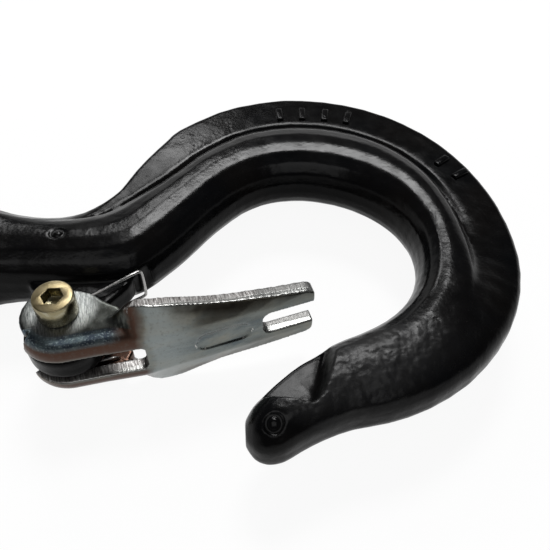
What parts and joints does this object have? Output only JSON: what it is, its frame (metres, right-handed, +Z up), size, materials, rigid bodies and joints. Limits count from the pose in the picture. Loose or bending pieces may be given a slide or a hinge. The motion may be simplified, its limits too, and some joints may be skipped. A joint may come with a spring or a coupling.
{
  "type": "safety chain hook",
  "caption": "Forged clevis slip hook for a safety chain, with a sprung sheet-metal latch on a socket-head pivot screw and a headed load pin held by a split pin.",
  "frame": {"origin": "middle of the bounding box in plan, on the floor that the hook lies on", "axes": "+X from the chain end along the pull to the bowl, +Z up through the thickness of the hook, +Y towards the hook's back, away from the latch"},
  "size_m": [0.1532, 0.1106, 0.0289],
  "materials": {
    "black_paint": "semi-gloss black paint over a forged surface",
    "zinc_plate": "bright zinc plated pressed steel, rubbed and slightly iridescent",
    "spring_steel": "plain drawn steel wire",
    "yellow_zinc": "yellow passivated zinc",
    "nylon": "blue nylon ring"
  },
  "bodies": {
    "hook": {"hook_body": "black_paint", "latch_screw": "yellow_zinc", "latch_nut": "yellow_zinc", "nut_ring": "nylon", "latch_washer": "yellow_zinc", "pivot_sleeve": "spring_steel", "latch_spring": "spring_steel"},
    "latch": {"latch": "zinc_plate"},
    "load_pin": {"load_pin": "zinc_plate", "pin_washer": "zinc_plate", "cotter_pin": "spring_steel"}
  },
  "joints": [
    {"name": "latch_swing", "type": "hinge", "parent": "hook", "child": "latch", "pos_m": [-0.02516, -0.02765, 0.0147], "axis": [0, 0, 1], "range_deg": [-26.6, 37], "stiffness_Nm_per_rad": 0.02, "springref_deg": -51.57, "deforming": ["latch_spring"]},
    {"name": "load_pin_turn", "type": "hinge", "parent": "hook", "child": "load_pin", "pos_m": [-0.06316, -0.00565, 0.0147], "axis": [0, 1, 0], "continuous": true}
  ]
}
